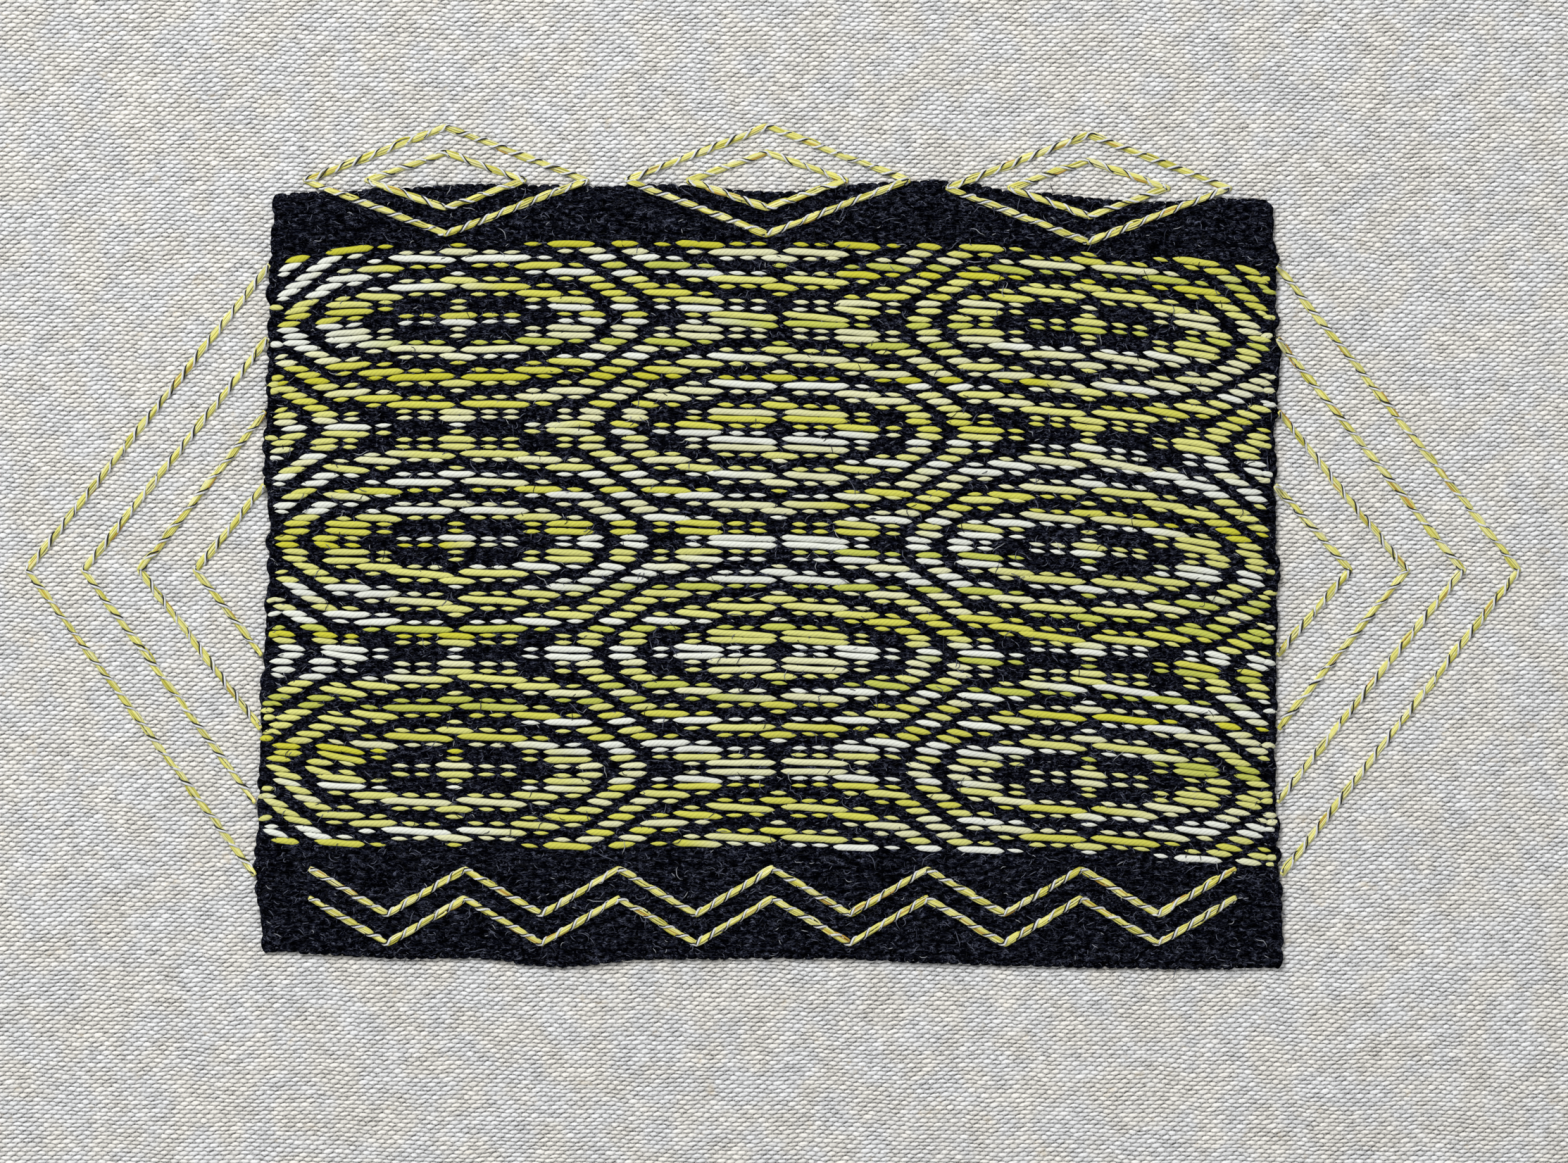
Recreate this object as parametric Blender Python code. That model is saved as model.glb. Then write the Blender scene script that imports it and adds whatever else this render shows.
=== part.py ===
"""Woven tapestry: an overshot panel sewn flat on a canvas ground, with whipped running stitch.

Metres, +Z up, +X to the right of the panel and +Y to its top.
The origin is the middle of the canvas's underside.
"""

import math
from collections import namedtuple

import bmesh
import bpy

MM = 0.001

# Canvas ground, a cut length of heavy plain-weave cotton
CANVAS_WIDTH = 292 * MM
CANVAS_DEPTH = 220 * MM
CANVAS_THICK = 1.0 * MM
CANVAS_RISE = 0.1 * MM
CANVAS_CELLS = (24, 18)

# Woven panel
PANEL_THICK = 1.4 * MM
FLOAT_SWELL = 0.3 * MM
FLOAT_TOP = 57 * MM
FLOAT_BOTTOM = -48 * MM
FLOAT_FADE = 5 * MM
RIM_LOSS = 0.3 * MM
PANEL_RISE = 0.12 * MM
PANEL_CELLS = (30, 22)
PANEL_CORNER = 2.0 * MM

# Clear gap between pieces that touch on the real thing
GAP = 0.3 * MM

# Lines of whipped running stitch: a stitch is full in its middle and pinched where it enters the cloth
Section = namedtuple("Section", "width crown height")
FULL = Section(1.3 * MM, 0.7 * MM, 0.8 * MM)
PINCHED = Section(0.9 * MM, 0.525 * MM, 0.5 * MM)
STITCH_PITCH = 3.45 * MM
STITCH_SWELL = 0.28
MITRE_ROOM = 1.15
LINE_SETBACK = 1.1 * MM
LOZENGE_SETBACK = 0.5 * MM
STEP_NEAR = 1.5 * MM
STEP_FAR = 3.2 * MM

# Corners of the panel, then how far each edge bows out of the straight line between them.
# "at" runs from 0 to 1: left to right on the top and bottom edges, top to bottom on the sides.
CORNERS = {
    "top left": (-90.6 * MM, 68.4 * MM),
    "top right": (86.8 * MM, 67.2 * MM),
    "bottom left": (-92.5 * MM, -64.9 * MM),
    "bottom right": (88.8 * MM, -68.2 * MM),
}
Bow = namedtuple("Bow", "at out")
TOP_BOWS = (
    Bow(0.00, 0.0),
    Bow(0.04, 0.5),
    Bow(0.12, 1.3),
    Bow(0.21, 2.2),
    Bow(0.33, 1.8),
    Bow(0.38, 2.4),
    Bow(0.50, 1.1),
    Bow(0.63, 3.1),
    Bow(0.67, 3.4),
    Bow(0.75, 1.3),
    Bow(0.88, -0.3),
    Bow(0.96, 0.6),
    Bow(1.00, 0.0),
)
BOTTOM_BOWS = (
    Bow(0.00, 0.0),
    Bow(0.05, 0.9),
    Bow(0.13, 1.3),
    Bow(0.21, 1.0),
    Bow(0.29, 2.5),
    Bow(0.38, 0.6),
    Bow(0.58, -0.1),
    Bow(0.63, 0.4),
    Bow(0.79, 0.7),
    Bow(0.91, 0.7),
    Bow(1.00, 0.0),
)
LEFT_BOWS = (
    Bow(0.00, 0.0),
    Bow(0.11, 0.4),
    Bow(0.23, 0.4),
    Bow(0.34, 1.0),
    Bow(0.45, -0.1),
    Bow(0.56, 0.2),
    Bow(0.68, 0.9),
    Bow(0.90, 1.4),
    Bow(1.00, 0.0),
)
RIGHT_BOWS = (
    Bow(0.00, 0.0),
    Bow(0.05, 0.2),
    Bow(0.16, 0.2),
    Bow(0.21, 0.8),
    Bow(0.32, -0.5),
    Bow(0.49, -0.2),
    Bow(0.66, -0.8),
    Bow(0.77, -1.1),
    Bow(0.88, -0.7),
    Bow(1.00, 0.0),
)

# Nested chevrons beside the panel, points outward. half is half the open side, reach is outward.
Chevron = namedtuple("Chevron", "half reach")
CHEVRONS = (
    Chevron(54 * MM, 43 * MM),
    Chevron(41 * MM, 33 * MM),
    Chevron(28 * MM, 23 * MM),
    Chevron(15 * MM, 13 * MM),
)
CHEVRON_MIDDLE = 2 * MM

# Nested lozenges across the panel's top edge
Lozenge = namedtuple("Lozenge", "name half_width half_height")
LOZENGES = (
    Lozenge("outer", 25 * MM, 9.6 * MM),
    Lozenge("inner", 14 * MM, 5.0 * MM),
)
LOZENGE_CENTRES = {
    "left": (-60 * MM, 71.2 * MM),
    "middle": (-3 * MM, 71.2 * MM),
    "right": (54 * MM, 69.8 * MM),
}

# Parallel zigzags on the dark band below the floats
ZIGZAG_LEFT = -84 * MM
ZIGZAG_RIGHT = 80 * MM
ZIGZAG_LEGS = 12
ZIGZAG_RISE = 8.0 * MM
ZIGZAG_MIDDLES = {"upper": -55.0 * MM, "lower": -60.2 * MM}

# name: (red, green, blue), roughness
COLOURS = {
    "canvas": ((0.66, 0.65, 0.63), 0.95),
    "wool": ((0.012, 0.014, 0.022), 0.95),
    "floss": ((0.55, 0.54, 0.10), 0.6),
}


def clear_scene():
    for obj in list(bpy.data.objects):
        bpy.data.objects.remove(obj)


def smooth(t):
    t = min(1.0, max(0.0, t))
    return t * t * (3.0 - 2.0 * t)


def bow_at(bows, t):
    """How far an edge stands out at t, eased between the rows of its table."""
    for low, high in zip(bows, bows[1:]):
        if t <= high.at:
            share = smooth((t - low.at) / (high.at - low.at))
            return (low.out + (high.out - low.out) * share) * MM
    return bows[-1].out * MM


def between(a, b, t):
    return (a[0] + (b[0] - a[0]) * t, a[1] + (b[1] - a[1]) * t)


def top_edge(u):
    x, y = between(CORNERS["top left"], CORNERS["top right"], u)
    return (x, y + bow_at(TOP_BOWS, u))


def bottom_edge(u):
    x, y = between(CORNERS["bottom left"], CORNERS["bottom right"], u)
    return (x, y - bow_at(BOTTOM_BOWS, u))


def left_edge(v):
    x, y = between(CORNERS["top left"], CORNERS["bottom left"], v)
    return (x - bow_at(LEFT_BOWS, v), y)


def right_edge(v):
    x, y = between(CORNERS["top right"], CORNERS["bottom right"], v)
    return (x + bow_at(RIGHT_BOWS, v), y)


def panel_point(u, v):
    """The panel's plane between its four edges: u from left to right, v from top to bottom."""
    across = between(left_edge(v), right_edge(v), u)
    down = between(top_edge(u), bottom_edge(u), v)
    top = between(CORNERS["top left"], CORNERS["top right"], u)
    bottom = between(CORNERS["bottom left"], CORNERS["bottom right"], u)
    flat = between(top, bottom, v)
    return (across[0] + down[0] - flat[0], across[1] + down[1] - flat[1])


def canvas_top(x, y):
    """The canvas isn't pressed quite flat: it has long low waves."""
    wave = math.sin(x / (31 * MM) + 0.6) * math.cos(y / (27 * MM))
    wave += 0.7 * math.sin(x / (17 * MM) - y / (23 * MM))
    return CANVAS_THICK + CANVAS_RISE * (1.0 + 0.5 * wave)


def panel_under(x, y):
    return canvas_top(x, y) + GAP


def panel_top(x, y):
    """The pattern floats make the middle thicker than the plain bands above and below them."""
    below = smooth((FLOAT_TOP - y) / FLOAT_FADE + 0.5)
    above = smooth((y - FLOAT_BOTTOM) / FLOAT_FADE + 0.5)
    wave = math.sin(x / (13 * MM)) * math.sin(y / (11 * MM) + 0.4)
    return panel_under(x, y) + PANEL_THICK + FLOAT_SWELL * below * above + PANEL_RISE * wave


def outline_points(steps=60):
    """The panel's outline as one closed ring, clockwise from its top left corner."""
    ring = [top_edge(i / steps) for i in range(steps)]
    ring += [right_edge(i / steps) for i in range(steps)]
    ring += [bottom_edge(1.0 - i / steps) for i in range(steps)]
    ring += [left_edge(1.0 - i / steps) for i in range(steps)]
    return ring


OUTLINE = outline_points()


def outline_distance(x, y):
    """Distance to the panel's outline, positive outside it."""
    nearest = math.inf
    inside = False
    for (ax, ay), (bx, by) in zip(OUTLINE, OUTLINE[1:] + OUTLINE[:1]):
        if (ay > y) != (by > y) and x < ax + (bx - ax) * (y - ay) / (by - ay):
            inside = not inside
        run = (bx - ax) ** 2 + (by - ay) ** 2
        share = min(1.0, max(0.0, ((x - ax) * (bx - ax) + (y - ay) * (by - ay)) / run))
        nearest = min(nearest, math.hypot(x - ax - (bx - ax) * share, y - ay - (by - ay) * share))
    return -nearest if inside else nearest


def beside_panel(x, y):
    """Underside of a stitched line that keeps to the canvas."""
    return canvas_top(x, y) + GAP


def across_panel(x, y):
    """Underside of a stitched line that runs over the panel and down to the canvas beside it."""
    low = beside_panel(x, y)
    away = outline_distance(x, y)
    if away >= STEP_FAR:
        return low
    high = panel_top(x, y) + GAP
    share = min(1.0, max(0.0, (STEP_FAR - away) / (STEP_FAR - STEP_NEAR)))
    return low + (high - low) * share


def make_material(name):
    colour, roughness = COLOURS[name]
    material = bpy.data.materials.new(name)
    material.use_nodes = True
    shader = material.node_tree.nodes["Principled BSDF"]
    shader.inputs["Base Color"].default_value = (*colour, 1.0)
    shader.inputs["Roughness"].default_value = roughness
    shader.inputs["Metallic"].default_value = 0.0
    return material


def add_object(name, bm, material, is_smooth=False):
    bmesh.ops.recalc_face_normals(bm, faces=bm.faces[:])
    mesh = bpy.data.meshes.new(name)
    bm.to_mesh(mesh)
    bm.free()
    mesh.materials.append(material)
    if is_smooth:
        mesh.shade_smooth()
        mesh.set_sharp_from_angle(angle=math.radians(40))
    obj = bpy.data.objects.new(name, mesh)
    bpy.context.collection.objects.link(obj)
    return obj


def slab(cells, place, top_at, under_at):
    """A closed slab on a grid: place maps (0 to 1, 0 to 1) to the plane, the others give heights."""
    bm = bmesh.new()
    bmesh.ops.create_grid(bm, x_segments=cells[0], y_segments=cells[1], size=0.5)
    for vert in bm.verts:
        u = vert.co.x + 0.5
        v = 0.5 - vert.co.y
        x, y = place(u, v)
        is_rim = min(u, v, 1.0 - u, 1.0 - v) < 0.001
        vert.co = (x, y, top_at(x, y, is_rim))
    raised = bmesh.ops.extrude_face_region(bm, geom=bm.faces[:])
    for vert in [part for part in raised["geom"] if isinstance(part, bmesh.types.BMVert)]:
        vert.co.z = under_at(vert.co.x, vert.co.y)
    return bm, [part for part in raised["geom"] if isinstance(part, bmesh.types.BMFace)]


def make_canvas(material):
    def place(u, v):
        return ((u - 0.5) * CANVAS_WIDTH, (0.5 - v) * CANVAS_DEPTH)

    bm, under = slab(CANVAS_CELLS, place, lambda x, y, rim: canvas_top(x, y), lambda x, y: 0.0)
    bmesh.ops.dissolve_faces(bm, faces=under)
    return add_object("canvas_ground", bm, material, is_smooth=True)


def make_panel(material):
    def top(x, y, is_rim):
        return panel_top(x, y) - (RIM_LOSS if is_rim else 0.0)

    bm, _ = slab(PANEL_CELLS, panel_point, top, panel_under)
    corner_edges = []
    for edge in bm.edges:
        plan = [vert.co.xy for vert in edge.verts]
        is_upright = (plan[0] - plan[1]).length < GAP / 10
        is_corner = any(math.dist(plan[0], corner) < GAP / 10 for corner in CORNERS.values())
        if is_upright and is_corner:
            corner_edges.append(edge)
    bmesh.ops.bevel(
        bm, geom=corner_edges, offset=PANEL_CORNER, segments=3, profile=0.5, affect="EDGES", material=-1
    )
    return add_object("woven_panel", bm, material, is_smooth=True)


def mitre_reach(corners, i):
    """How far along its legs a corner's mitre reaches on the inside, none at an open end."""
    if i in (0, len(corners) - 1):
        return 0.0
    (ax, ay), (bx, by), (cx, cy) = corners[i - 1 : i + 2]
    bend = math.remainder(math.atan2(cy - by, cx - bx) - math.atan2(by - ay, bx - ax), math.tau)
    return MITRE_ROOM * FULL.width / 2 * math.tan(abs(bend) / 2)


def stitch_stations(a, b, clear_a, clear_b):
    """Up to three places to a stitch along a straight run, each with the line's section there."""
    count = round(math.dist(a, b) / STITCH_PITCH)
    stations = []
    for i in range(count):
        stations.append((between(a, b, i / count), PINCHED))
        for share in (STITCH_SWELL, 1.0 - STITCH_SWELL):
            place = between(a, b, (i + share) / count)
            if math.dist(a, place) > clear_a and math.dist(b, place) > clear_b:
                stations.append((place, FULL))
    return stations


def make_line(name, corners, under_at, material):
    """One stitched line as a low beaded bar that follows the cloth below it, mitred at its corners."""
    path = []
    for i, (a, b) in enumerate(zip(corners, corners[1:])):
        path += stitch_stations(a, b, mitre_reach(corners, i), mitre_reach(corners, i + 1))
    path.append((corners[-1], PINCHED))
    bm = bmesh.new()
    rings = []
    for i, ((x, y), section) in enumerate(path):
        before = path[max(i - 1, 0)][0]
        after = path[min(i + 1, len(path) - 1)][0]
        turn_in = math.atan2(y - before[1], x - before[0]) if i else None
        turn_out = math.atan2(after[1] - y, after[0] - x) if i < len(path) - 1 else turn_in
        turn_in = turn_out if turn_in is None else turn_in
        bend = math.remainder(turn_out - turn_in, math.tau)
        side = turn_in + bend / 2 + math.pi / 2
        stretch = 1.0 / math.cos(bend / 2)
        under = under_at(x, y)
        ring = []
        for half, height in (
            (-section.width / 2, 0.0),
            (section.width / 2, 0.0),
            (section.crown / 2, section.height),
            (-section.crown / 2, section.height),
        ):
            reach = half * stretch
            ring.append(
                bm.verts.new((x + math.cos(side) * reach, y + math.sin(side) * reach, under + height))
            )
        rings.append(ring)
    for ring, following in zip(rings, rings[1:]):
        for i in range(4):
            j = (i + 1) % 4
            bm.faces.new((ring[i], ring[j], following[j], following[i]))
    bm.faces.new(rings[0])
    bm.faces.new(rings[-1])
    bmesh.ops.triangulate(bm, faces=bm.faces[:])  # the faces at a mitre are twisted
    return add_object(name, bm, material)


def make_chevrons(material):
    sides = {"left": (left_edge, -1), "right": (right_edge, 1)}
    for side, (edge, outward) in sides.items():
        for number, chevron in enumerate(CHEVRONS, start=1):
            ends = []
            for y in (CHEVRON_MIDDLE + chevron.half, CHEVRON_MIDDLE - chevron.half):
                top, bottom = edge(0.0)[1], edge(1.0)[1]
                edge_x = edge((top - y) / (top - bottom))[0]
                ends.append((edge_x + outward * LINE_SETBACK, y))
            tip_x = edge(0.5)[0] + outward * chevron.reach
            corners = [ends[0], (tip_x, CHEVRON_MIDDLE), ends[1]]
            make_line(f"chevron_{side}_{number}", corners, beside_panel, material)


def make_lozenges(material):
    for place, (x, y) in LOZENGE_CENTRES.items():
        for lozenge in LOZENGES:
            wide, high = lozenge.half_width, lozenge.half_height
            left = (x - wide, y)
            top = (x, y + high)
            right = (x + wide, y)
            bottom = (x, y - high)
            step = LOZENGE_SETBACK / math.dist(bottom, left)
            corners = [between(bottom, right, step), right, top, left, between(bottom, left, step)]
            make_line(f"lozenge_{place}_{lozenge.name}", corners, across_panel, material)


def make_zigzags(material):
    for place, middle in ZIGZAG_MIDDLES.items():
        corners = []
        for i in range(ZIGZAG_LEGS + 1):
            x = ZIGZAG_LEFT + (ZIGZAG_RIGHT - ZIGZAG_LEFT) * i / ZIGZAG_LEGS
            corners.append((x, middle + ZIGZAG_RISE / 2 * (-1) ** i))
        make_line(f"zigzag_{place}", corners, across_panel, material)


def main():
    clear_scene()
    make_canvas(make_material("canvas"))
    make_panel(make_material("wool"))
    floss = make_material("floss")
    make_chevrons(floss)
    make_lozenges(floss)
    make_zigzags(floss)


main()
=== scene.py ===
import math

import bmesh
import bpy
import numpy as np
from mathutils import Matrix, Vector
from mathutils.bvhtree import BVHTree


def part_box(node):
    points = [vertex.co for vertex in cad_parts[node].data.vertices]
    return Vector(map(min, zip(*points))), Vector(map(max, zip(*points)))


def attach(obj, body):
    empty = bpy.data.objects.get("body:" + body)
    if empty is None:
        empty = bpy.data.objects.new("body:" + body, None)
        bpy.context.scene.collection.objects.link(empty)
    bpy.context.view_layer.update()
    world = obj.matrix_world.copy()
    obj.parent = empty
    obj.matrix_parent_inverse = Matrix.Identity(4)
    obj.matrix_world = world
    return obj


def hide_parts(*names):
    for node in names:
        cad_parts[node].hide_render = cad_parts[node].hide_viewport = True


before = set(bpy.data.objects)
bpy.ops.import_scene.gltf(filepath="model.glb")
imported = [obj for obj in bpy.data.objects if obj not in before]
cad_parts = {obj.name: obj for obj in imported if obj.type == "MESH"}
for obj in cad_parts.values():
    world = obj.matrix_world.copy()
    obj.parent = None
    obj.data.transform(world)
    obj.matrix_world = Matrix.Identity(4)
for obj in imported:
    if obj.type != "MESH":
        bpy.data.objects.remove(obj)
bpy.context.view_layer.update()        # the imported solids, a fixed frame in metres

mm = 0.001
print("Frame loaded:", len(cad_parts), "nodes")


# Small helpers

def srgb(red, green, blue):
    # screen colour, 0 to 255, as the linear colour that a shader takes
    parts = [channel / 255 for channel in (red, green, blue)]
    return tuple(c / 12.92 if c <= 0.04045 else ((c + 0.055) / 1.055) ** 2.4 for c in parts)


def smooth(share):
    share = np.clip(share, 0.0, 1.0)
    return share * share * (3.0 - 2.0 * share)


def crowded(share, crowding):
    # even shares from 0 to 1, moved closer together towards both ends
    return (1 - crowding) * share + crowding * (0.5 - 0.5 * np.cos(math.pi * share))


def treeOf(node):
    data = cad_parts[node].data
    return BVHTree.FromPolygons([v.co for v in data.vertices], [p.vertices for p in data.polygons])


def addPiece(name, data, material, replaced=()):
    # every piece stays at the origin, with its place in its mesh
    data.materials.append(material)
    data.shade_smooth()
    piece = bpy.data.objects.new(name, data)
    bpy.context.collection.objects.link(piece)
    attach(piece, "root")
    if replaced:
        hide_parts(*replaced)
    return piece


# The two cloths' surfaces, read from the solids

readings = {
    "step": 2.0 * mm,
    "margin": 0.9 * mm,
    "sideHeight": 0.6 * mm,     # above the panel's underside
    "edgeStations": 160,
    "edgeInset": 6 * mm,        # corners are too round for a ray from the side
    "outside": 0.2,             # rays from the side start this far from the middle
    "above": 0.1,
}

canvasLow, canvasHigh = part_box("canvas_ground")
panelLow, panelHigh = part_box("woven_panel")
canvasTree = treeOf("canvas_ground")
panelTree = treeOf("woven_panel")


def readEdge(horizontal, sign):
    # a panel edge as x over y, or as y over x, from rays sent in from that side
    low, high = (panelLow.y, panelHigh.y) if horizontal else (panelLow.x, panelHigh.x)
    inset, far = readings["edgeInset"], sign * readings["outside"]
    stations = np.linspace(low + inset, high - inset, readings["edgeStations"])
    height = panelLow.z + readings["sideHeight"]
    found = []
    for place in stations:
        if horizontal:
            start, way = Vector((far, place, height)), Vector((-sign, 0, 0))
        else:
            start, way = Vector((place, far, height)), Vector((0, -sign, 0))
        hit = panelTree.ray_cast(start, way)[0]
        found.append(hit.x if horizontal else hit.y)
    return lambda place: np.interp(place, stations, found)


leftSolid = readEdge(True, -1)
rightSolid = readEdge(True, 1)
bottomEdge = readEdge(False, -1)
topEdge = readEdge(False, 1)

selvedge = {
    "inset": 0.12 * mm,
    "wander": 0.24 * mm,
    "waves": ((9.1 * mm, 1.0), (5.3 * mm, 0.8), (3.1 * mm, 0.6)),      # length and share of each wave
    "waveSum": 1.5,
    "shifts": (0.7, 2.9),       # left and right
    "corner": 2.0 * mm,
}


def wanderAt(y, shift):
    # the weft pulls a selvedge in and out
    total = 0.0
    for i, (period, share) in enumerate(selvedge["waves"]):
        total = total + share * np.sin(y * math.tau / period + shift * (i + 1))
    return selvedge["wander"] * total / selvedge["waveSum"]


def leftEdge(y):
    return leftSolid(y) + selvedge["inset"] + wanderAt(y, selvedge["shifts"][0])


def rightEdge(y):
    return rightSolid(y) - selvedge["inset"] - wanderAt(y, selvedge["shifts"][1])


def edgeDistance(x, y):
    # how far inside the panel's edges a point is, negative outside
    sideways = np.minimum(x - leftEdge(y), rightEdge(y) - x)
    upright = np.minimum(topEdge(x) - y, y - bottomEdge(x))
    radius = selvedge["corner"]
    corner = radius - np.hypot(np.maximum(radius - sideways, 0), np.maximum(radius - upright, 0))
    return np.minimum(np.minimum(sideways, upright), corner)


def roundedCorner(x, y):
    # moves a point near a square corner of the panel in, so that the corner is a quarter circle
    radius = selvedge["corner"]
    toRight, toTop = x > 0, y > 0
    sideways = np.where(toRight, rightEdge(y) - x, x - leftEdge(y))
    upright = np.where(toTop, topEdge(x) - y, y - bottomEdge(x))
    a = np.clip(1 - sideways / radius, 0, 1)
    b = np.clip(1 - upright / radius, 0, 1)
    moveX = radius * a * (1 - np.sqrt(1 - b**2 / 2))
    moveY = radius * b * (1 - np.sqrt(1 - a**2 / 2))
    return x - np.where(toRight, moveX, -moveX), y - np.where(toTop, moveY, -moveY)


def heightMap(tree, low, high, keepInside):
    # a cloth's upper surface as a smooth function, from a grid of rays sent down
    step = readings["step"]
    xs = np.arange(low.x, high.x + step, step)
    ys = np.arange(low.y, high.y + step, step)
    margin = readings["margin"]
    heights = np.zeros((len(ys), len(xs)))
    for j, y in enumerate(ys):
        for i, x in enumerate(xs):
            px = min(max(x, low.x + margin), high.x - margin)
            py = min(max(y, low.y + margin), high.y - margin)
            if keepInside:
                py = min(max(py, float(bottomEdge(px)) + margin), float(topEdge(px)) - margin)
                px = min(max(px, float(leftEdge(py)) + margin), float(rightEdge(py)) - margin)
            hit = tree.ray_cast(Vector((px, py, readings["above"])), Vector((0, 0, -1)))[0]
            hit = hit or tree.find_nearest(Vector((px, py, high.z)))[0]
            heights[j, i] = hit.z

    def at(x, y):
        gx = np.clip((x - xs[0]) / step, 0, len(xs) - 1.001)
        gy = np.clip((y - ys[0]) / step, 0, len(ys) - 1.001)
        i, j = gx.astype(int), gy.astype(int)
        fx, fy = gx - i, gy - j
        upper = heights[j + 1, i] * (1 - fx) + heights[j + 1, i + 1] * fx
        lower = heights[j, i] * (1 - fx) + heights[j, i + 1] * fx
        return lower * (1 - fy) + upper * fy

    return at


canvasTop = heightMap(canvasTree, canvasLow, canvasHigh, False)
panelTop = heightMap(panelTree, panelLow, panelHigh, True)


def clothTop(x, y, near=0.2 * mm, far=1.4 * mm):
    # the surface that a stitched line lies on: the panel, a short slope, then the canvas
    outside = -edgeDistance(x, y)
    share = smooth((far - outside) / (far - near))
    return canvasTop(x, y) + (panelTop(x, y) - canvasTop(x, y)) * share


print("Surfaces read")


# Yarn: thousands of tapered tubes in one mesh, each with its own path, size and dye. They are made from
# arrays, because their twist and dye are attributes that follow each tube

tiny = 1e-12


def yarnRun(x, y, z, wide, high, along, dye):
    # one tube: its path, its half width and half height, its length so far and its colour at each ring
    return {
        "centre": np.stack([x, y, z], axis=1),
        "wide": wide,
        "high": high,
        "along": along,
        "dye": dye,
    }


def yarnMesh(name, runs, sides):
    # tubes with equally many rings are made together; each has its rings, then the points of its two tips
    byCount = {}
    for run in runs:
        byCount.setdefault(len(run["along"]), []).append(run)
    turn = np.arange(sides) / sides
    cosine = np.cos((turn - 0.25) * math.tau)
    sine = np.sin((turn - 0.25) * math.tau)
    points, along, around, dye, quads, caps = [], [], [], [], [], []
    start = 0
    for count, group in sorted(byCount.items()):
        centre = np.stack([run["centre"] for run in group])
        tangent = np.gradient(centre, axis=1)
        tangent /= np.linalg.norm(tangent, axis=2, keepdims=True) + tiny
        side = np.cross(np.array([0.0, 0.0, 1.0]), tangent)
        side /= np.linalg.norm(side, axis=2, keepdims=True) + tiny
        upward = np.cross(tangent, side)
        wide = np.stack([run["wide"] for run in group])[:, :, None, None]
        high = np.stack([run["high"] for run in group])[:, :, None, None]
        rings = centre[:, :, None, :] + side[:, :, None, :] * wide * cosine[:, None]
        rings = rings + upward[:, :, None, :] * high * sine[:, None]
        number = len(group)
        rings = rings.reshape(number, count * sides, 3)
        block = np.concatenate([rings, centre[:, :1], centre[:, -1:]], axis=1)
        points.append(block.reshape(-1, 3))

        lengths = np.stack([run["along"] for run in group])
        spread = np.repeat(lengths, sides, axis=1)
        along.append(np.concatenate([spread, lengths[:, :1], lengths[:, -1:]], axis=1).ravel())
        turns = np.tile(turn, (number, count))
        middle = np.full((number, 2), 0.5)
        around.append(np.concatenate([turns, middle], axis=1).ravel())
        colours = np.stack([run["dye"] for run in group])
        spread = np.repeat(colours, sides, axis=1)
        dye.append(np.concatenate([spread, colours[:, :1], colours[:, -1:]], axis=1).reshape(-1, 3))

        base = start + np.arange(number)[:, None, None] * (count * sides + 2)
        ring = np.arange(count - 1)[None, :, None] * sides
        j = np.arange(sides)[None, None, :]
        following = (j + 1) % sides
        quad = [base + ring + j, base + ring + following]
        quad += [base + ring + sides + following, base + ring + sides + j]
        quads.append(np.stack(quad, axis=-1).reshape(-1, 4))
        first = base + count * sides
        last = (count - 1) * sides
        opening = [first + 0 * j, base + following, base + j]
        closing = [first + 1 + 0 * j, base + last + j, base + last + following]
        caps.append(np.stack(opening, axis=-1).reshape(-1, 3))
        caps.append(np.stack(closing, axis=-1).reshape(-1, 3))
        start += number * (count * sides + 2)

    faces = np.concatenate(quads).tolist() + np.concatenate(caps).tolist()
    data = bpy.data.meshes.new(name)
    data.from_pydata(np.concatenate(points).tolist(), [], faces)
    data.attributes.new("along", "FLOAT", "POINT").data.foreach_set("value", np.concatenate(along))
    data.attributes.new("around", "FLOAT", "POINT").data.foreach_set("value", np.concatenate(around))
    colour = np.concatenate(dye)
    colour = np.concatenate([colour, np.ones((len(colour), 1))], axis=1)
    data.attributes.new("dye", "FLOAT_COLOR", "POINT").data.foreach_set("color", colour.ravel())
    data.update()
    return data


# Materials: node helpers

def startMaterial(name, roughness):
    material = bpy.data.materials.new(name)
    material.use_nodes = True
    tree = material.node_tree
    shader = tree.nodes["Principled BSDF"]
    shader.inputs["Roughness"].default_value = roughness
    return material, tree, shader


def join(tree, value, socket):
    if isinstance(value, bpy.types.NodeSocket):
        tree.links.new(value, socket)
    else:
        socket.default_value = value


def calc(tree, operation, *values, clamp=False):
    node = tree.nodes.new("ShaderNodeMath")
    node.operation = operation
    node.use_clamp = clamp
    for value, socket in zip(values, node.inputs):
        join(tree, value, socket)
    return node.outputs[0]


def attributeOf(tree, name, output):
    node = tree.nodes.new("ShaderNodeAttribute")
    node.attribute_name = name
    return node.outputs[output]


def noiseOf(tree, vector, scale, detail=2.0, roughness=0.5):
    node = tree.nodes.new("ShaderNodeTexNoise")
    node.inputs["Scale"].default_value = scale
    node.inputs["Detail"].default_value = detail
    node.inputs["Roughness"].default_value = roughness
    tree.links.new(vector, node.inputs["Vector"])
    return node.outputs["Fac"]


def swing(tree, vector, depth, scale, detail=2.0, roughness=0.5):
    # noise that swings about zero
    level = noiseOf(tree, vector, scale, detail, roughness)
    return calc(tree, "MULTIPLY", calc(tree, "SUBTRACT", level, 0.5), depth)


def linear(tree, value, factor, shift):
    return calc(tree, "ADD", calc(tree, "MULTIPLY", value, factor), shift)


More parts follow.
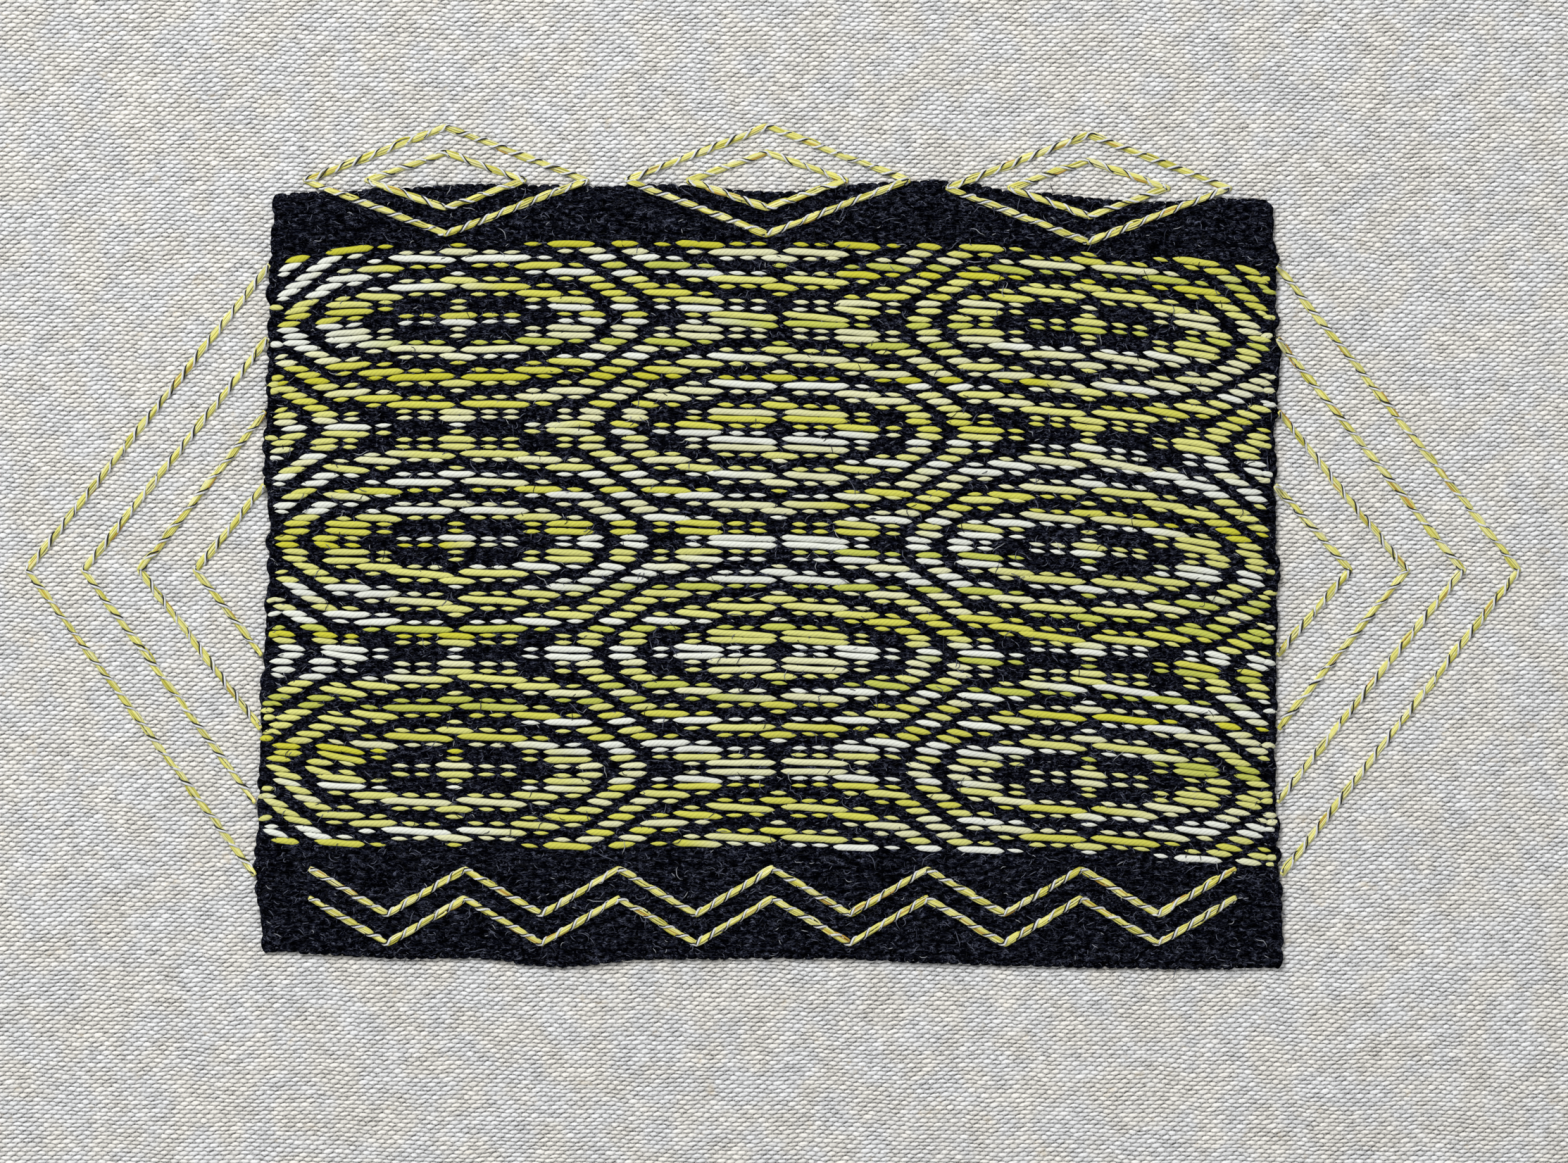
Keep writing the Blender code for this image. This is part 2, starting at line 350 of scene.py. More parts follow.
def steep(tree, value, start, factor):
    # 0 up to the start, then a quick rise to 1
    return calc(tree, "MULTIPLY", calc(tree, "SUBTRACT", value, start), factor, clamp=True)


def rampOf(tree, value, stops):
    node = tree.nodes.new("ShaderNodeValToRGB")
    elements = node.color_ramp.elements
    while len(elements) < len(stops):
        elements.new(0.5)
    for element, (place, colour) in zip(elements, stops):
        element.position = place
        element.color = (*colour, 1.0)
    join(tree, value, node.inputs["Fac"])
    return node.outputs["Color"]


def mixOf(tree, share, first, second, blend="MIX"):
    node = tree.nodes.new("ShaderNodeMix")
    node.data_type = "RGBA"
    node.blend_type = blend
    join(tree, share, node.inputs["Factor"])
    for value, place in ((first, 6), (second, 7)):
        if isinstance(value, tuple):
            value = (*value, 1.0)
        join(tree, value, node.inputs[place])
    return node.outputs[2]


def bumpOf(tree, shader, height, distance, strength=0.8):
    node = tree.nodes.new("ShaderNodeBump")
    node.inputs["Distance"].default_value = distance
    node.inputs["Strength"].default_value = strength
    tree.links.new(height, node.inputs["Height"])
    tree.links.new(node.outputs["Normal"], shader.inputs["Normal"])


def objectPoint(tree, turn=0.0, scale=(1.0, 1.0, 1.0)):
    coordinates = tree.nodes.new("ShaderNodeTexCoord").outputs["Object"]
    mapping = tree.nodes.new("ShaderNodeMapping")
    mapping.inputs["Rotation"].default_value = (0.0, 0.0, turn)
    mapping.inputs["Scale"].default_value = scale
    tree.links.new(coordinates, mapping.inputs["Vector"])
    return mapping.outputs["Vector"]


def parted(tree, vector):
    node = tree.nodes.new("ShaderNodeSeparateXYZ")
    tree.links.new(vector, node.inputs[0])
    return node.outputs[0], node.outputs[1], node.outputs[2]


def scaled(tree, colour, shade):
    node = tree.nodes.new("ShaderNodeVectorMath")
    node.operation = "SCALE"
    tree.links.new(colour, node.inputs[0])
    tree.links.new(shade, node.inputs["Scale"])
    return node.outputs[0]


# Canvas ground: plain-weave cotton duck, threads turned a little clockwise

canvas = {
    "cells": (60, 46),
    "warpPitch": 0.877 * mm,
    "weftPitch": 0.733 * mm,
    "turn": math.radians(1.2),
    "wander": (2.2, 55.0),              # slow wandering of the threads: depth in rows, noise scale
    "jitter": (0.8, 480.0, 1.0),        # their quick unevenness, with the noise's detail
    "fray": (1.0, 2300.0, 3.0, 0.65),
    "frayDown": 0.75,
    "frayAcross": 0.4,
    "bumpWide": (0.12, 0.48),           # half width of a bump in cells: what varies, and the least
    "bumpHigh": (0.18, 0.51),
    "bumpPowers": (2.2, 1.6),           # how square it is, across and down
    "bumpCrown": 0.9,
    "bumpTilt": 0.21,
    "bumpDepth": 0.23 * mm,
    "warpWide": 0.1,                    # the warp that shows between two bumps: half width in cells, height
    "warpHigh": 0.14,
    "thread": srgb(243, 242, 240),
    # painted shade: the next two colours are shade painted on the edges of the bumps and in the gaps between
    # them
    "threadEdgeShade": srgb(190, 189, 187),
    "gap": srgb(84, 83, 81),
    "threadAt": (0.0, 0.15, 0.75),      # heights at which the painted gap shade, the painted edge shade and the thread have their colours
    "fleck": srgb(212, 196, 168),
    "fleckShare": 0.4,
    "coolTint": srgb(250, 252, 255),
    "warmTint": srgb(254, 252, 247),
    "fibreScale": (1800.0, 6500.0, 6500.0),
    "patches": (0.1, 0.85),             # large pale and dark patches: what varies, and the least
    "cellTone": 0.2,
    "fibreTone": (0.3, 0.85),
    "fibreHeight": 0.12,
}


def canvasMaterial():
    # weft bumps in brick order over every second warp, and a thin strand of warp in each gap
    material, tree, shader = startMaterial("canvasCotton", 0.95)
    point = objectPoint(tree, canvas["turn"])
    x, y, _ = parted(tree, point)

    # places in the weave: rows of weft, and columns of two warps that shift by half from row to row
    wander = swing(tree, point, *canvas["wander"])
    jitter = swing(tree, point, *canvas["jitter"])
    b = calc(tree, "ADD", calc(tree, "MULTIPLY", y, 1 / canvas["weftPitch"]), wander)
    b = calc(tree, "ADD", b, jitter)
    a = calc(tree, "MULTIPLY", x, 0.5 / canvas["warpPitch"])
    a = calc(tree, "ADD", a, calc(tree, "MULTIPLY", calc(tree, "ADD", wander, jitter), 0.5))
    row = calc(tree, "FLOOR", b)
    down = calc(tree, "SUBTRACT", calc(tree, "SUBTRACT", b, row), 0.5)
    shifted = calc(tree, "ADD", a, calc(tree, "MULTIPLY", calc(tree, "PINGPONG", row, 1.0), 0.5))
    column = calc(tree, "FLOOR", shifted)
    across = calc(tree, "SUBTRACT", calc(tree, "SUBTRACT", shifted, column), 0.5)
    fray = swing(tree, point, *canvas["fray"])
    down = calc(tree, "ADD", down, calc(tree, "MULTIPLY", fray, canvas["frayDown"]))
    across = calc(tree, "ADD", across, calc(tree, "MULTIPLY", fray, canvas["frayAcross"]))

    # three chance values for each cell
    cell = tree.nodes.new("ShaderNodeCombineXYZ")
    join(tree, column, cell.inputs[0])
    join(tree, row, cell.inputs[1])
    chance = tree.nodes.new("ShaderNodeTexWhiteNoise")
    tree.links.new(cell.outputs[0], chance.inputs["Vector"])
    cellWide, cellHigh, cellTone = parted(tree, chance.outputs["Color"])

    # height of the weft bump or of the warp beside it
    halfWide = linear(tree, cellWide, *canvas["bumpWide"])
    halfHigh = linear(tree, cellHigh, *canvas["bumpHigh"])
    powerWide, powerHigh = canvas["bumpPowers"]
    tilted = calc(tree, "SUBTRACT", down, calc(tree, "MULTIPLY", across, canvas["bumpTilt"]))
    wideShare = calc(tree, "ABSOLUTE", calc(tree, "DIVIDE", across, halfWide))
    wideShare = calc(tree, "POWER", wideShare, powerWide)
    highShare = calc(tree, "ABSOLUTE", calc(tree, "DIVIDE", tilted, halfHigh))
    highShare = calc(tree, "POWER", highShare, powerHigh)
    weft = calc(tree, "SUBTRACT", 1.0, calc(tree, "ADD", wideShare, highShare), clamp=True)
    weft = calc(tree, "POWER", weft, canvas["bumpCrown"])
    fromGap = calc(tree, "SUBTRACT", 0.5, calc(tree, "ABSOLUTE", across))
    fromGap = calc(tree, "DIVIDE", fromGap, canvas["warpWide"])
    warp = calc(tree, "SUBTRACT", 1.0, calc(tree, "MULTIPLY", fromGap, fromGap), clamp=True)
    height = calc(tree, "MAXIMUM", weft, calc(tree, "MULTIPLY", warp, canvas["warpHigh"]))

    # colour: painted shade in the gaps and on the edges of the bumps, brown flecks, cool and warm patches,
    # fibres
    stops = list(zip(canvas["threadAt"], (canvas["gap"], canvas["threadEdgeShade"], canvas["thread"])))
    # painted shade: the lower a point of the weave lies, the darker its colour
    thread = rampOf(tree, height, stops)
    flecks = steep(tree, noiseOf(tree, point, 260.0, 2.0, 0.7), 0.66, 8.0)
    flecks = calc(tree, "MULTIPLY", flecks, canvas["fleckShare"])
    colour = mixOf(tree, flecks, thread, canvas["fleck"])
    tint = steep(tree, noiseOf(tree, point, 140.0, 2.0), 0.4, 5.0)
    tint = rampOf(tree, tint, [(0.0, canvas["coolTint"]), (1.0, canvas["warmTint"])])
    colour = mixOf(tree, 1.0, colour, tint, "MULTIPLY")
    fibre = noiseOf(tree, objectPoint(tree, canvas["turn"], canvas["fibreScale"]), 1.0, 2.0, 0.6)
    shade = linear(tree, noiseOf(tree, point, 28.0, 3.0), *canvas["patches"])
    shade = calc(tree, "ADD", shade, calc(tree, "MULTIPLY", cellTone, canvas["cellTone"]))
    shade = calc(tree, "MULTIPLY", shade, linear(tree, fibre, *canvas["fibreTone"]))
    tree.links.new(scaled(tree, colour, shade), shader.inputs["Base Color"])
    shader.inputs["Specular IOR Level"].default_value = 0.15
    height = calc(tree, "ADD", height, calc(tree, "MULTIPLY", fibre, canvas["fibreHeight"]))
    bumpOf(tree, shader, height, canvas["bumpDepth"], 1.0)
    return material


def gridSlab(cells, place, topAt, underAt):
    # a closed cloth: a grid is put in place, then extruded down to its underside
    bm = bmesh.new()
    bmesh.ops.create_grid(bm, x_segments=cells[0], y_segments=cells[1], size=0.5)
    plan = np.array([v.co[:2] for v in bm.verts])
    x, y = place(plan[:, 0] + 0.5, plan[:, 1] + 0.5)
    z = topAt(x, y)
    for vert, px, py, pz in zip(bm.verts, x, y, z):
        vert.co = (px, py, pz)
    raised = bmesh.ops.extrude_face_region(bm, geom=bm.faces[:])["geom"]
    lower = [part for part in raised if isinstance(part, bmesh.types.BMVert)]
    plan = np.array([v.co[:2] for v in lower])
    for vert, pz in zip(lower, underAt(plan[:, 0], plan[:, 1])):
        vert.co.z = pz
    under = [part for part in raised if isinstance(part, bmesh.types.BMFace)]
    bmesh.ops.recalc_face_normals(bm, faces=bm.faces[:])
    return bm, under


def meshOf(bm, name):
    data = bpy.data.meshes.new(name)
    bm.to_mesh(data)
    bm.free()
    return data


def makeCanvas():
    def place(u, v):
        return (
            canvasLow.x + (canvasHigh.x - canvasLow.x) * u,
            canvasLow.y + (canvasHigh.y - canvasLow.y) * v,
        )

    bm, under = gridSlab(canvas["cells"], place, canvasTop, lambda x, y: 0.0 * x)
    bmesh.ops.dissolve_faces(bm, faces=under)
    data = meshOf(bm, "canvasGround")
    piece = addPiece("canvasGround", data, canvasMaterial(), ["canvas_ground"])
    piece.data.set_sharp_from_angle(angle=math.radians(50))
    return piece


# Wool ground of the woven panel

wool = {
    "cells": (104, 84),
    "rimCrowding": 0.4,         # share of the cells' even spacing that is given up to have more at the rim
    "sink": 0.42 * mm,          # how far the ground lies below the float crowns
    "underGap": 0.12 * mm,
    "rimRound": 1.1 * mm,
    "rimDrop": 0.7 * mm,
    "deep": srgb(1, 1, 4),
    "mid": srgb(5, 6, 14),
    "light": srgb(32, 35, 49),
    "toneAt": (0.45, 0.56, 0.7),
    "toneScale": (800.0, 3300.0, 3300.0),
    # partly painted glint: the curly fibre lines are real, and their light colour is a painted glint on them
    "hairGlint": srgb(84, 88, 106),
    "hairs": (                  # turn, stretch and fineness of each set of curly hairs
        (0.08, (620.0, 2300.0), 0.045),
        (-0.45, (800.0, 2100.0), 0.04),
        (0.5, (900.0, 2000.0), 0.03),
    ),
    "hairShare": 1.2,
    "lumpScale": (640.0, 1500.0, 1500.0),
    "lumpHairs": (1.3, 0.5),    # how many more hairs a lump of the weave has: what varies, and the least
    # painted shade: the wool is darker between the lumps of the weave than on them
    "lumpShade": (0.9, 0.3),
    "bumpDepth": 0.2 * mm,
}


def curlyLines(tree, turn, stretch, fine):
    # thin curly lines: where a stretched, wandering noise passes its middle value, broken up by another
    point = objectPoint(tree, turn, (stretch[0], stretch[1], stretch[1]))
    level = noiseOf(tree, point, 1.0, 1.0, 0.45)
    line = calc(tree, "ABSOLUTE", calc(tree, "SUBTRACT", level, 0.5))
    line = calc(tree, "SUBTRACT", 1.0, calc(tree, "DIVIDE", line, fine), clamp=True)
    shown = noiseOf(tree, objectPoint(tree, turn + 1.0, (1500.0, 1500.0, 1500.0)), 1.0, 1.0)
    return calc(tree, "MULTIPLY", line, steep(tree, shown, 0.46, 9.0))


def woolMaterial():
    material, tree, shader = startMaterial("navyWool", 1.0)
    base = noiseOf(tree, objectPoint(tree, 0.05, wool["toneScale"]), 1.0, 2.0, 0.6)
    stops = list(zip(wool["toneAt"], (wool["deep"], wool["mid"], wool["light"])))
    colour = rampOf(tree, base, stops)
    first, second, third = [curlyLines(tree, *values) for values in wool["hairs"]]
    hairs = calc(tree, "MAXIMUM", first, calc(tree, "MAXIMUM", second, third))
    lumps = noiseOf(tree, objectPoint(tree, 0.02, wool["lumpScale"]), 1.0, 0.0)
    lumps = steep(tree, lumps, 0.3, 3.0)
    share = calc(tree, "MULTIPLY", hairs, noiseOf(tree, objectPoint(tree), 900.0, 0.0))
    share = calc(tree, "MULTIPLY", share, linear(tree, lumps, *wool["lumpHairs"]))
    share = calc(tree, "MULTIPLY", share, wool["hairShare"], clamp=True)
    # curly fibre lines in a painted glint colour
    colour = mixOf(tree, share, colour, wool["hairGlint"])
    # painted shade: darker where the lumps of the weave are low
    colour = scaled(tree, colour, linear(tree, lumps, *wool["lumpShade"]))
    tree.links.new(colour, shader.inputs["Base Color"])
    shader.inputs["Specular IOR Level"].default_value = 0.0
    height = calc(tree, "ADD", calc(tree, "ADD", base, hairs), lumps)
    bumpOf(tree, shader, height, wool["bumpDepth"])
    return material


# Threading and treadling of the overshot, read off the cloth: half repeats, mirrored at both ends

draft = {
    "threading": "2343434141212341234141212323234",
    "treadling": "DCCBADCBADCBADDC",
    "sheds": {"A": (1, 2), "B": (2, 3), "C": (3, 4), "D": (4, 1)},
    "edgePicks": 11,            # picks of the half repeat that start and end the panel
    "firstEnd": -17,
    "lastEnd": 77,
}

# Where the ends and picks lie, in millimetres from the middle of the view. The draft turns at three ends
# and five picks, and the rows bow and crowd between them. Each row of heights has its pick in pickMarks
layout = {
    "endMarks": (0, 30, 60),
    "endPlacesHigh": (-57.75, -0.62, 54.0),      # at 50 mm above the middle
    "endPlacesLow": (-58.5, -0.98, 54.1),        # at 42 mm below it
    "endHeights": (50.0, -42.0),
    "selvedge": 1.1 * mm,
    "pickMarks": (0, 10.5, 26.5, 42.5, 58.5, 74.5, 85),
    "rowX": (-92.3, -88, -82, -75, -66, -57.7, -38, -19, -0.5, 18, 38, 55.7, 72, 79, 84, 88),
    "rowY": (
        (
            55.4, 56.8, 58.0, 59.1, 59.5, 59.6, 59.9, 59.8,
            59.8, 59.55, 59.1, 57.9, 56.8, 56.0, 54.8, 53.4,
        ),
        (
            45.0, 45.2, 45.7, 46.2, 46.6, 46.7, 46.9, 46.8,
            46.5, 46.0, 46.1, 45.3, 43.7, 43.0, 42.4, 41.8,
        ),
        (
            26.1, 26.4, 26.7, 26.9, 27.1, 27.1, 27.2, 27.1,
            26.8, 26.5, 26.2, 25.4, 24.0, 23.2, 22.6, 22.1,
        ),
        (
            7.1, 7.1, 7.0, 6.9, 6.9, 7.0, 7.0, 7.1,
            7.0, 6.7, 6.2, 5.4, 4.0, 3.4, 2.8, 2.3,
        ),
        (
            -12.3, -12.4, -12.4, -12.7, -12.8, -12.7, -12.7, -12.5,
            -12.2, -12.7, -13.6, -14.5, -15.6, -16.4, -17.0, -17.5,
        ),
        (
            -32.1, -32.4, -32.8, -33.3, -33.4, -33.4, -33.6, -33.1,
            -32.8, -33.0, -34.3, -35.0, -36.0, -36.4, -36.8, -37.1,
        ),
        (
            -45.8, -46.1, -46.5, -46.7, -46.8, -46.8, -47.1, -46.5,
            -46.8, -47.3, -47.8, -48.2, -49.2, -49.6, -49.9, -50.2,
        ),
    ),
    "rowRoom": 0.6 * mm,        # from the outermost rows to the plain bands
    "rowWaste": 1.05,           # yarn used in a row, against the panel's width
}


def shaftOf(end):
    # the half repeat of the threading is mirrored at both of its ends
    half = draft["threading"]
    fold = len(half) - 1
    place = abs(end) % (2 * fold)
    return int(half[place if place <= fold else 2 * fold - place])


def allPicks():
    half = draft["treadling"]
    edge = half[: draft["edgePicks"]]
    return edge[::-1] + half + half[::-1] + half + half[::-1] + edge


picks = allPicks()
pickLength = (panelHigh.x - panelLow.x) * layout["rowWaste"]


def endX(end, y):
    # left selvedge, three measured ends, right selvedge
    left = leftEdge(y) + layout["selvedge"]
    right = rightEdge(y) - layout["selvedge"]
    high, low = layout["endHeights"]
    share = np.clip((high - y / mm) / (high - low), 0, 1)
    measured = zip(layout["endPlacesHigh"], layout["endPlacesLow"])
    middle = [(above + (below - above) * share) * mm for above, below in measured]
    marks = (draft["firstEnd"] - 0.5, *layout["endMarks"], draft["lastEnd"] + 0.5)
    return np.interp(end, marks, (left, *middle, right))


def rowAt(number, x):
    return np.interp(np.asarray(x) / mm, layout["rowX"], layout["rowY"][number]) * mm


def pickY(pick, x):
    marks = layout["pickMarks"]
    number = int(np.clip(np.searchsorted(marks, pick, "right") - 1, 0, len(marks) - 2))
    share = (pick - marks[number]) / (marks[number + 1] - marks[number])
    return rowAt(number, x) * (1 - share) + rowAt(number + 1, x) * share


def floatRegion(x, y):
    # 1 where pattern yarn floats, 0 in the plain bands
    over = rowAt(0, x) + layout["rowRoom"]
    under = rowAt(len(layout["rowY"]) - 1, x) - layout["rowRoom"]
    return smooth((over - y) / mm + 0.5) * smooth((y - under) / mm + 0.5)


def groundTop(x, y):
    depth = wool["sink"] * floatRegion(x, y)
    inside = np.clip(edgeDistance(x, y) / wool["rimRound"], 0, 1)
    fall = wool["rimDrop"] * (1 - np.sqrt(1 - (1 - inside) ** 2))
    return panelTop(x, y) - depth - fall


def makeWoolGround(material):
    def place(u, v):
        # between the four edges, with cells closer together at the rim
        u, v = crowded(u, wool["rimCrowding"]), crowded(v, wool["rimCrowding"])
        y = panelLow.y + (panelHigh.y - panelLow.y) * v
        for _ in range(6):
            x = leftEdge(y) + (rightEdge(y) - leftEdge(y)) * u
            y = bottomEdge(x) + (topEdge(x) - bottomEdge(x)) * v
        return roundedCorner(x, y)

    def under(x, y):
        return canvasTop(x, y) + wool["underGap"]

    bm, _ = gridSlab(wool["cells"], place, groundTop, under)
    data = meshOf(bm, "woolGround")
    piece = addPiece("woolGround", data, material, ["woven_panel"])
    piece.data.set_sharp_from_angle(angle=math.radians(60))
    return piece


# Pattern yarn: two-ply cotton, space-dyed, floating over the ends that a shed leaves down

yarn = {
    "halfFree": 0.65 * mm,      # half width where no float lies beside it
    "squeeze": 0.15 * mm,       # how much a long neighbour takes off that side
    "halfSingle": 0.43 * mm,
    "thickness": 0.62 * mm,
    "overrun": (0.3, 0.05),     # ends that a float reaches past its own, and their spread
    "taper": 1.55 * mm,
    "tipLift": 0.05 * mm,
    "tipBend": 0.17 * mm,       # on a row that rises, the left tip lies this much low and the right one high
    "steepRow": 0.07,
    "lean": 0.2,                # slope of a float beside the left selvedge, where the pattern steps sideways
    "leanReach": 11 * mm,
    "leastBody": (0.06, 0.1),   # half width and half height at the tips, as shares
    "bulge": 0.07,
    "bulgeLengths": (1.1 * mm, 0.9 * mm),
    "singleSizes": (0.88, 1.1),
    "singleDrop": 0.03 * mm,
    "tilt": (-0.03, 0.02),      # slope of a float against its row, and its spread
    "tipSpread": 0.08 * mm,
    "rowSpread": 0.05 * mm,
    "lay": 3.4 * mm,
    "plies": 4,
    "plyDepth": 0.06 * mm,
    # painted shade on the sides of a float, as a share
    "sideShade": 0.5,
    "ringStep": 1.1 * mm,
    "rings": (6, 16),
    "ringCrowding": 0.6,
    "sides": 8,
    "dyeRun": (28 * mm, 150 * mm),
    "dyeFade": 14 * mm,
    "dyeTones": (0.93, 1.05),
    "seed": 41,
    "bands": {
        "patternFloats_top": (0, 29),
        "patternFloats_middle": (29, 58),
        "patternFloats_bottom": (58, 86),
    },
    "dyes": (                   # colours and how often they come
        (srgb(214, 214, 128), 30),
        (srgb(220, 220, 178), 25),
        (srgb(226, 229, 219), 21),
        (srgb(206, 205, 88), 15),
        (srgb(200, 198, 58), 5),
        (srgb(190, 196, 88), 4),
    ),
}


def dyeAlong():
    # colour of the one long yarn by distance from its start
    random = np.random.default_rng(yarn["seed"])
    weights = np.array([weight for _, weight in yarn["dyes"]], float)
    weights /= weights.sum()
    total = (len(picks) + 2) * pickLength
    places, colours = [], []
    place, last = 0.0, -1
    while place < total:
        choice = int(random.choice(len(weights), p=weights))
        if choice == last:
            continue
        last = choice
        length = random.uniform(*yarn["dyeRun"])
        colour = np.array(yarn["dyes"][choice][0]) * random.uniform(*yarn["dyeTones"])
        fade = min(yarn["dyeFade"], length / 2) / 2
        places += [place + fade, place + length - fade]
        colours += [colour, colour]
        place += length
    colours = np.array(colours)
    return lambda at: np.stack([np.interp(at, places, colours[:, i]) for i in range(3)], axis=-1)


plied = {
    "crown": 0.6,               # the lower, the rounder a ply
    "fibreScale": (900.0, 2600.0, 2600.0),
    "fibreHeight": 0.6,
    "fibreTone": (0.22, 0.89),
    # where the painted shade on a tube's sides starts, and how fast it deepens
    "sideStart": 0.3,
    "sideRise": 4.0,
}


def yarnMaterial(name, lay, plies, roughness, grooveShade, depth, sideShade=0.0):
    # plies that wind round a tube by its attributes, with painted shade in their grooves and low on the
    # sides
    material, tree, shader = startMaterial(name, roughness)
    dye = attributeOf(tree, "dye", "Color")
    along = attributeOf(tree, "along", "Fac")
    around = attributeOf(tree, "around", "Fac")
    twist = calc(tree, "ADD", around, calc(tree, "MULTIPLY", along, 1 / lay))
    phase = calc(tree, "FRACT", calc(tree, "MULTIPLY", twist, float(plies)))
    ply = calc(tree, "SINE", calc(tree, "MULTIPLY", phase, math.pi))
    ply = calc(tree, "POWER", ply, plied["crown"])
    fibre = noiseOf(tree, objectPoint(tree, 0.0, plied["fibreScale"]), 1.0, 3.0, 0.6)
    height = calc(tree, "ADD", ply, calc(tree, "MULTIPLY", fibre, plied["fibreHeight"]))
    # painted shade: darker in the grooves between the plies
    shade = linear(tree, ply, 1 - grooveShade, grooveShade)
    shade = calc(tree, "MULTIPLY", shade, linear(tree, fibre, *plied["fibreTone"]))
    # painted shade: darker on the sides and underside of the tube
    sideways = calc(tree, "MULTIPLY", calc(tree, "ABSOLUTE", calc(tree, "SUBTRACT", around, 0.5)), 2.0)
    sideways = steep(tree, sideways, plied["sideStart"], plied["sideRise"])
    sideways = calc(tree, "MULTIPLY", sideways, sideShade)
    shade = calc(tree, "MULTIPLY", shade, calc(tree, "SUBTRACT", 1.0, sideways))
    tree.links.new(scaled(tree, dye, shade), shader.inputs["Base Color"])
    shader.inputs["Specular IOR Level"].default_value = 0.2
    bumpOf(tree, shader, height, depth)
    return material


def floatGroups(pick):
    # the floats of a pick, each as its first and last end
    lifted = draft["sheds"][picks[pick]]
    groups = []
    for end in range(draft["firstEnd"], draft["lastEnd"] + 1):
        if shaftOf(end) in lifted:
            continue
        if groups and end == groups[-1][1] + 1:
            groups[-1][1] = end
        else:
            groups.append([end, end])
    return groups


def crowdOf(pick):
    # how much each end of a pick is filled: 1 in a long float, less in a single one, 0 where dark
    ends = np.arange(draft["firstEnd"], draft["lastEnd"] + 1)
    filled = np.zeros(len(ends))
    if 0 <= pick < len(picks):
        for first, last in floatGroups(pick):
            filled[first - ends[0] : last - ends[0] + 1] = 0.5 if first == last else 1.0
    return lambda end: np.interp(end, ends, filled)


def leanOf(pick, centre):
    # which way the floats step from the pick above to the pick below: 1 to the left, -1 to the right
    places = []
    for other in (pick - 1, pick + 1):
        if not 0 <= other < len(picks):
            return 0.0
        centres = [(first + last) / 2 for first, last in floatGroups(other)]
        places.append(min(centres, key=lambda place: abs(place - centre)))
    return float(np.clip((places[0] - places[1]) / 2, -1, 1))


def lens(fromEnd, taper):
    # width of a float near its tip: pointed, then round
    return 1 - (1 - np.clip(fromEnd / taper, 0, 1)) ** 2


def floatRuns(dyeAt):
    # one tube for each float, with its pick
    random = np.random.default_rng(yarn["seed"] + 1)
    allRuns = []
    for pick in range(len(picks)):
        above, below = crowdOf(pick - 1), crowdOf(pick + 1)
        wave = random.uniform(0, math.tau, 2)
        rowShift = random.normal(0, 1) * yarn["rowSpread"]
        twistShift = random.uniform(0, yarn["lay"])
        for first, last in floatGroups(pick):
            roughY = pickY(pick, 0.0)
            reach0, reach1 = yarn["overrun"][0] + random.normal(0, yarn["overrun"][1], 2)
            x0 = float(endX(first - 0.5 - reach0, roughY))
            x1 = float(endX(last + 0.5 + reach1, roughY))
            length = x1 - x0
            count = int(np.clip(round(length / yarn["ringStep"]) + 3, *yarn["rings"]))
            share = crowded(np.linspace(0, 1, count), yarn["ringCrowding"])
            x = x0 + length * share
            end = first - 0.5 - reach0 + (last - first + 1 + reach0 + reach1) * share
            body = lens(np.minimum(share, 1 - share) * length, min(yarn["taper"], length * 0.5))
            if first == last:
                up = np.full(count, yarn["halfSingle"] * random.uniform(*yarn["singleSizes"]))
                down = up - yarn["singleDrop"]
            else:
                up = yarn["halfFree"] - yarn["squeeze"] * above(end)
                down = yarn["halfFree"] - yarn["squeeze"] * below(end)
            up = up * (1 + yarn["bulge"] * np.sin(x / yarn["bulgeLengths"][0] + wave[0]))
            down = down * (1 + yarn["bulge"] * np.sin(x / yarn["bulgeLengths"][1] + wave[1]))
            wide = (up + down) / 2 * np.maximum(body, yarn["leastBody"][0])
            high = yarn["thickness"] / 2 * np.maximum(body, yarn["leastBody"][1]) ** 0.7

            # slope, and tips that lie aside of the row
            tilt = random.normal(*yarn["tilt"])
            fromEdge = max(x0 - panelLow.x, 0)
            lean = leanOf(pick, (first + last) / 2) * math.exp(-fromEdge / yarn["leanReach"])
            tilt += yarn["lean"] * lean
            slope = float(pickY(pick, x1) - pickY(pick, x0)) / length
            bend = yarn["tipBend"] * float(np.clip(slope / yarn["steepRow"], -1, 1))
            bends = random.normal(0, 1, 2) * yarn["tipSpread"] + np.array([-bend, bend])
            y = pickY(pick, x) + rowShift + tilt * (x - (x0 + x1) / 2) + (up - down) / 2
            y = y + bends[0] * (1 - share) ** 4 + bends[1] * share**4
            y = y + random.normal(0, 1) * yarn["rowSpread"]
            tip = groundTop(x, y) + yarn["tipLift"]
            z = tip + (panelTop(x, y) - yarn["thickness"] / 2 - tip) * body
            onward = x - panelLow.x if pick % 2 == 0 else panelHigh.x - x
            dye = dyeAt(pick * pickLength + onward)
            allRuns.append((pick, yarnRun(x, y, z, wide, high, x + twistShift, dye)))
    return allRuns


def cottonMaterial(name, grooveShade):
    lay, plies, depth = yarn["lay"], yarn["plies"], yarn["plyDepth"]
    return yarnMaterial(name, lay, plies, 0.85, grooveShade, depth, yarn["sideShade"])


def makeFloats():
    material = cottonMaterial("patternYarn", 0.85)
    runs = floatRuns(dyeAlong())
    pieces = []
    for name, (first, last) in yarn["bands"].items():
        band = [run for pick, run in runs if first <= pick < last]
        pieces.append(addPiece(name, yarnMesh(name, band, yarn["sides"]), material))
    print("Floats:", len(runs))
    return pieces


